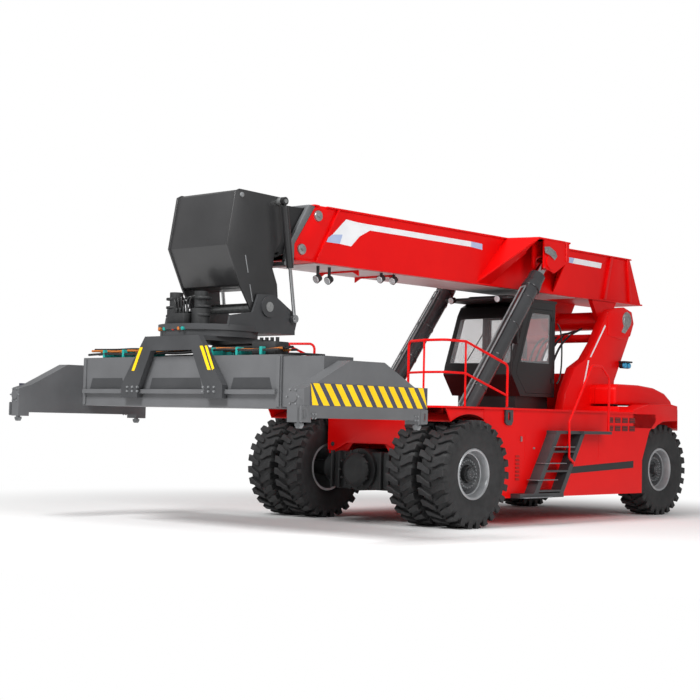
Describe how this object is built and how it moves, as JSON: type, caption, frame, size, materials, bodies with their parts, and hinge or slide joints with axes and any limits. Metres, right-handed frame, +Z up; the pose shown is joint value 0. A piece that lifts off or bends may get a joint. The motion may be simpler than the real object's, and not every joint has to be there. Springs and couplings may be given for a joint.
{
  "type": "reach stacker",
  "caption": "Reach stacker with telescopic boom, slewing and telescoping container spreader, dual front wheels, steered rear axle, cab between boom towers.",
  "frame": {"origin": "on the ground under the middle of the machine's outline", "axes": "+Z up, the machine's front toward -Y, its left side toward +X"},
  "size_m": [6.06, 12.169, 4.8299],
  "materials": {
    "red_paint": "gloss",
    "black_paint": "satin",
    "dark_paint": "satin",
    "grey_paint": "satin",
    "engine_grey": "matte",
    "dark_steel": "satin",
    "black_steel": "satin",
    "zinc_steel": "satin",
    "silver_rim": "satin",
    "tyre": "matte",
    "glass": "gloss",
    "seat_fabric": "matte",
    "black_plastic": "satin",
    "chrome_rod": "polished"
  },
  "bodies": {
    "chassis": {"main_frame": "red_paint", "side_bodies": "red_paint", "lift_brackets": "dark_steel", "deck": "red_paint", "rear_body": "red_paint", "counterweight": "red_paint", "engine": "engine_grey", "hood_center": "red_paint", "boom_towers": "red_paint", "boom_pin": "zinc_steel", "drive_axle": "black_steel", "steer_axle": "black_steel", "cab_shell": "black_paint", "cab_glass": "glass", "cab_base": "black_paint", "cab_seat": "seat_fabric", "cab_console": "black_plastic", "steering_wheel": "black_plastic", "handrails": "red_paint", "ladder": "dark_paint", "ladder_rail": "red_paint"},
    "front_wheels_left": {"front_tyres_left": "tyre", "front_rims_left": "silver_rim"},
    "front_wheels_right": {"front_tyres_right": "tyre", "front_rims_right": "silver_rim"},
    "knuckle_left": {"knuckle_left": "black_steel"},
    "knuckle_right": {"knuckle_right": "black_steel"},
    "rear_wheel_left": {"rear_tyre_left": "tyre", "rear_rim_left": "silver_rim"},
    "rear_wheel_right": {"rear_tyre_right": "tyre", "rear_rim_right": "silver_rim"},
    "boom": {"boom_outer": "red_paint", "boom_pads": "black_plastic"},
    "inner_boom": {"boom_inner": "black_paint", "inner_pads": "black_plastic", "boom_head": "black_paint", "head_pins": "zinc_steel"},
    "yoke": {"yoke": "dark_paint", "slew_drives": "black_steel"},
    "slew_frame": {"slew_frame": "dark_paint"},
    "spreader": {"main_box": "grey_paint"},
    "telescope_left": {"telescope_left": "grey_paint"},
    "telescope_right": {"telescope_right": "grey_paint"},
    "lift_barrels": {"lift_barrels": "dark_paint"},
    "lift_rods": {"lift_rods": "chrome_rod"},
    "damper_barrels": {"damper_barrels": "black_paint"},
    "damper_rods": {"damper_rods": "chrome_rod"},
    "cab_door": {"cab_door": "black_paint", "door_glass": "glass"},
    "hood_left": {"hood_left": "red_paint"},
    "hood_right": {"hood_right": "red_paint"},
    "twistlock_front_left": {"twistlock_front_left": "zinc_steel"},
    "twistlock_rear_left": {"twistlock_rear_left": "zinc_steel"},
    "twistlock_front_right": {"twistlock_front_right": "zinc_steel"},
    "twistlock_rear_right": {"twistlock_rear_right": "zinc_steel"}
  },
  "joints": [
    {"name": "boom_lift", "type": "hinge", "parent": "chassis", "child": "boom", "pos_m": [0, 4.5345, 3.53], "axis": [-1, 0, 0], "range_deg": [0, 60]},
    {"name": "boom_extend", "type": "slide", "parent": "boom", "child": "inner_boom", "axis": [0, -1, 0], "range_m": [0, 6.7]},
    {"name": "lift_barrel_tilt", "type": "hinge", "parent": "chassis", "child": "lift_barrels", "pos_m": [0, -0.3855, 1.45], "axis": [1, 0, 0], "range_deg": [-1.8, 0]},
    {"name": "lift_rod_stroke", "type": "slide", "parent": "lift_barrels", "child": "lift_rods", "axis": [0, 0.6302, 0.7764], "range_m": [0, 2.665]},
    {"name": "spreader_swing", "type": "hinge", "parent": "inner_boom", "child": "yoke", "pos_m": [0, -4.3655, 3.16], "axis": [1, 0, 0], "range_deg": [-10, 60]},
    {"name": "damper_tilt", "type": "hinge", "parent": "inner_boom", "child": "damper_barrels", "pos_m": [0, -4.1455, 4.69], "axis": [1, 0, 0], "range_deg": [-0.1, 0.1]},
    {"name": "damper_stroke", "type": "slide", "parent": "damper_barrels", "child": "damper_rods", "axis": [0, 0.1538, -0.9881], "range_m": [-0.507, 0.085]},
    {"name": "spreader_slew", "type": "hinge", "parent": "yoke", "child": "slew_frame", "pos_m": [0, -4.8655, 2.7], "axis": [0, 0, 1], "range_deg": [-105, 195]},
    {"name": "side_shift", "type": "slide", "parent": "slew_frame", "child": "spreader", "axis": [-1, 0, 0], "range_m": [-0.8, 0.8]},
    {"name": "telescope_left_slide", "type": "slide", "parent": "spreader", "child": "telescope_left", "axis": [1, 0, 0], "range_m": [0, 3.066]},
    {"name": "telescope_right_slide", "type": "slide", "parent": "spreader", "child": "telescope_right", "axis": [-1, 0, 0], "range_m": [0, 3.066]},
    {"name": "twistlock_front_left_turn", "type": "hinge", "parent": "telescope_left", "child": "twistlock_front_left", "pos_m": [2.9265, -5.995, 1.545], "axis": [0, 0, 1], "range_deg": [0, 90]},
    {"name": "twistlock_rear_left_turn", "type": "hinge", "parent": "telescope_left", "child": "twistlock_rear_left", "pos_m": [2.9265, -3.736, 1.545], "axis": [0, 0, 1], "range_deg": [0, 90]},
    {"name": "twistlock_front_right_turn", "type": "hinge", "parent": "telescope_right", "child": "twistlock_front_right", "pos_m": [-2.9265, -5.995, 1.545], "axis": [0, 0, 1], "range_deg": [0, 90]},
    {"name": "twistlock_rear_right_turn", "type": "hinge", "parent": "telescope_right", "child": "twistlock_rear_right", "pos_m": [-2.9265, -3.736, 1.545], "axis": [0, 0, 1], "range_deg": [0, 90]},
    {"name": "front_wheels_left_spin", "type": "hinge", "parent": "chassis", "child": "front_wheels_left", "pos_m": [1.19, -1.2655, 0.815], "axis": [1, 0, 0], "continuous": true},
    {"name": "front_wheels_right_spin", "type": "hinge", "parent": "chassis", "child": "front_wheels_right", "pos_m": [-1.19, -1.2655, 0.815], "axis": [1, 0, 0], "continuous": true},
    {"name": "steer_left", "type": "hinge", "parent": "chassis", "child": "knuckle_left", "pos_m": [0.98, 4.7345, 0.815], "axis": [0, 0, 1], "range_deg": [-50, 50]},
    {"name": "rear_wheel_left_spin", "type": "hinge", "parent": "knuckle_left", "child": "rear_wheel_left", "pos_m": [1.4, 4.7345, 0.815], "axis": [1, 0, 0], "continuous": true},
    {"name": "steer_right", "type": "hinge", "parent": "chassis", "child": "knuckle_right", "pos_m": [-0.98, 4.7345, 0.815], "axis": [0, 0, 1], "range_deg": [-50, 50]},
    {"name": "rear_wheel_right_spin", "type": "hinge", "parent": "knuckle_right", "child": "rear_wheel_right", "pos_m": [-1.4, 4.7345, 0.815], "axis": [1, 0, 0], "continuous": true},
    {"name": "cab_door_swing", "type": "hinge", "parent": "chassis", "child": "cab_door", "pos_m": [0.754, 2.5595, 2.3], "axis": [0, 0, 1], "range_deg": [0, 95]},
    {"name": "hood_left_lift", "type": "hinge", "parent": "chassis", "child": "hood_left", "pos_m": [1.085, 5.7845, 2.342], "axis": [0, -1, 0], "range_deg": [0, 65]},
    {"name": "hood_right_lift", "type": "hinge", "parent": "chassis", "child": "hood_right", "pos_m": [-1.085, 5.7845, 2.342], "axis": [0, 1, 0], "range_deg": [0, 65]}
  ],
  "couplings": [
    {"joint": "lift_barrel_tilt", "follows": "boom_lift", "ratio": -0.0286},
    {"joint": "lift_rod_stroke", "follows": "boom_lift", "m_per_rad": 2.5446},
    {"joint": "damper_tilt", "follows": "spreader_swing", "ratio": 0.001},
    {"joint": "damper_stroke", "follows": "spreader_swing", "m_per_rad": -0.4834},
    {"joint": "telescope_right_slide", "follows": "telescope_left_slide", "ratio": 1},
    {"joint": "steer_right", "follows": "steer_left", "ratio": 1},
    {"joint": "twistlock_rear_left_turn", "follows": "twistlock_front_left_turn", "ratio": 1},
    {"joint": "twistlock_front_right_turn", "follows": "twistlock_front_left_turn", "ratio": 1},
    {"joint": "twistlock_rear_right_turn", "follows": "twistlock_front_left_turn", "ratio": 1}
  ]
}
